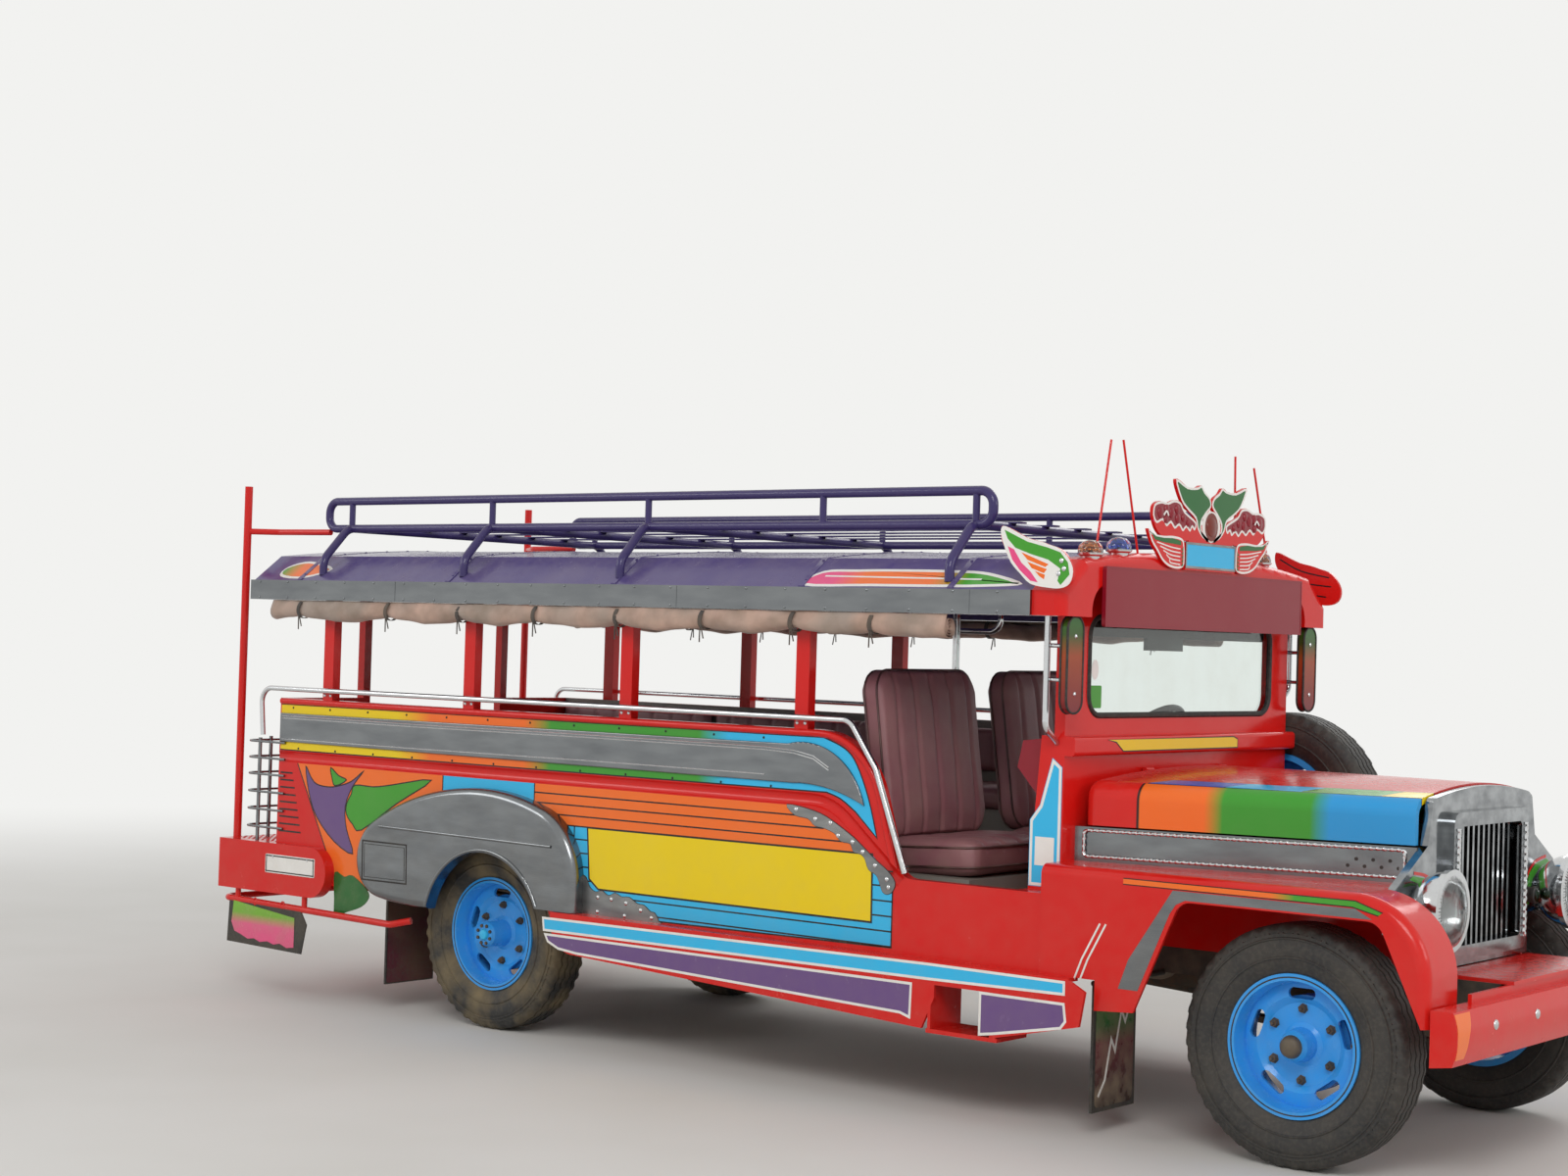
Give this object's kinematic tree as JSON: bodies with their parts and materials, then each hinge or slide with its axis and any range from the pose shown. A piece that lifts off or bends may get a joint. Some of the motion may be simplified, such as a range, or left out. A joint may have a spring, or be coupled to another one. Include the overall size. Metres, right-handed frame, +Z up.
{
  "type": "jeepney",
  "caption": "Open-sided passenger minibus on a light truck frame, with lengthwise benches, rear boarding step, roof rack, opening hood, steered front wheels and spare wheel.",
  "frame": {"origin": "point on the ground under the middle of the vehicle's length and width", "axes": "+X points forward along the vehicle, +Y to its left, +Z up"},
  "size_m": [5.63, 1.9389, 2.3004],
  "materials": {
    "frame_black": "satin enamel, dusty",
    "cast_parts": "as cast, dusty",
    "spring_steel": "oiled and dusty",
    "exhaust_steel": "weathered",
    "radiator_core": "dull",
    "stainless": "worn brushed sheet",
    "chrome": "bright, slightly pitted",
    "body_red": "gloss enamel",
    "roof_purple": "gloss enamel",
    "rack_purple": "gloss enamel",
    "skirt_purple": "gloss enamel",
    "maroon": "gloss enamel",
    "hood_paint": "gloss enamel in patches",
    "cabin_paint": "satin enamel, worn",
    "rim_blue": "gloss enamel",
    "flap_rubber": "matte, dusty",
    "tyre_rubber": "matte, dusty",
    "window_glass": "clear",
    "seat_vinyl": "grained vinyl",
    "curtain_cloth": "coated canvas, rolled",
    "wheel_plastic": "moulded"
  },
  "bodies": {
    "chassis": {"chassis_frame": "frame_black", "engine_block": "cast_parts", "rear_axle": "cast_parts", "drive_shaft": "frame_black", "front_axle": "cast_parts", "leaf_springs": "spring_steel", "exhaust_pipe": "exhaust_steel", "fuel_tank": "frame_black", "radiator": "radiator_core", "floor_pan": "cabin_paint", "side_walls": "stainless", "side_posts": "body_red", "rear_walls": "body_red", "roof_shell": "roof_purple", "roof_fascia": "stainless", "roof_rack": "rack_purple", "rear_step": "body_red", "rear_guards": "stainless", "rear_poles": "body_red", "windshield_frame": "body_red", "windshield_glass": "window_glass", "scuttle": "body_red", "dashboard": "seat_vinyl", "front_visor": "body_red", "sign_board": "maroon", "roof_ornaments": "stainless", "hood_sides": "stainless", "grille_shell": "chrome", "headlamps": "chrome", "front_fenders": "body_red", "front_bumper": "stainless", "rear_fenders": "stainless", "side_skirts": "skirt_purple", "mud_flaps": "flap_rubber", "belt_rails": "chrome", "mirrors": "maroon", "rolled_curtains": "curtain_cloth", "benches": "cabin_paint", "bench_cushions": "seat_vinyl", "seat_bases": "cabin_paint", "front_seats": "seat_vinyl", "handrails": "chrome", "steering_column": "frame_black", "spare_tyre": "tyre_rubber", "spare_rim": "rim_blue"},
    "hood": {"hood": "hood_paint"},
    "steering_wheel": {"steering_wheel": "wheel_plastic"},
    "right_knuckle": {"right_knuckle": "cast_parts"},
    "left_knuckle": {"left_knuckle": "cast_parts"},
    "tie_rod": {"tie_rod": "spring_steel"},
    "front_right_wheel": {"front_right_tyre": "tyre_rubber", "front_right_rim": "rim_blue"},
    "front_left_wheel": {"front_left_tyre": "tyre_rubber", "front_left_rim": "rim_blue"},
    "rear_right_wheel": {"rear_right_tyre": "tyre_rubber", "rear_right_rim": "rim_blue"},
    "rear_left_wheel": {"rear_left_tyre": "tyre_rubber", "rear_left_rim": "rim_blue"}
  },
  "joints": [
    {"name": "right_steer", "type": "hinge", "parent": "chassis", "child": "right_knuckle", "pos_m": [2.245, -0.56, 0.378], "axis": [0, 0, 1], "range_deg": [-28, 28]},
    {"name": "left_steer", "type": "hinge", "parent": "chassis", "child": "left_knuckle", "pos_m": [2.245, 0.56, 0.378], "axis": [0, 0, 1], "range_deg": [-28, 28]},
    {"name": "tie_rod_pin", "type": "hinge", "parent": "right_knuckle", "child": "tie_rod", "pos_m": [2.095, -0.56, 0.294], "axis": [0, 0, 1], "range_deg": [-28, 28]},
    {"name": "steering_wheel_turn", "type": "hinge", "parent": "chassis", "child": "steering_wheel", "pos_m": [0.99, 0.38, 1.225], "axis": [0.7376, 0, -0.6753], "range_deg": [-400, 400]},
    {"name": "hood_hinge", "type": "hinge", "parent": "chassis", "child": "hood", "pos_m": [1.406, 0, 1.172], "axis": [0, -1, 0], "range_deg": [0, 50]},
    {"name": "front_right_roll", "type": "hinge", "parent": "right_knuckle", "child": "front_right_wheel", "pos_m": [2.245, -0.705, 0.378], "axis": [0, 1, 0], "continuous": true},
    {"name": "front_left_roll", "type": "hinge", "parent": "left_knuckle", "child": "front_left_wheel", "pos_m": [2.245, 0.705, 0.378], "axis": [0, 1, 0], "continuous": true},
    {"name": "rear_right_roll", "type": "hinge", "parent": "chassis", "child": "rear_right_wheel", "pos_m": [-1.27, -0.705, 0.378], "axis": [0, 1, 0], "continuous": true},
    {"name": "rear_left_roll", "type": "hinge", "parent": "chassis", "child": "rear_left_wheel", "pos_m": [-1.27, 0.705, 0.378], "axis": [0, 1, 0], "continuous": true}
  ],
  "couplings": [
    {"joint": "left_steer", "follows": "right_steer", "ratio": 1},
    {"joint": "tie_rod_pin", "follows": "right_steer", "ratio": -1},
    {"joint": "steering_wheel_turn", "follows": "right_steer", "ratio": -14}
  ]
}
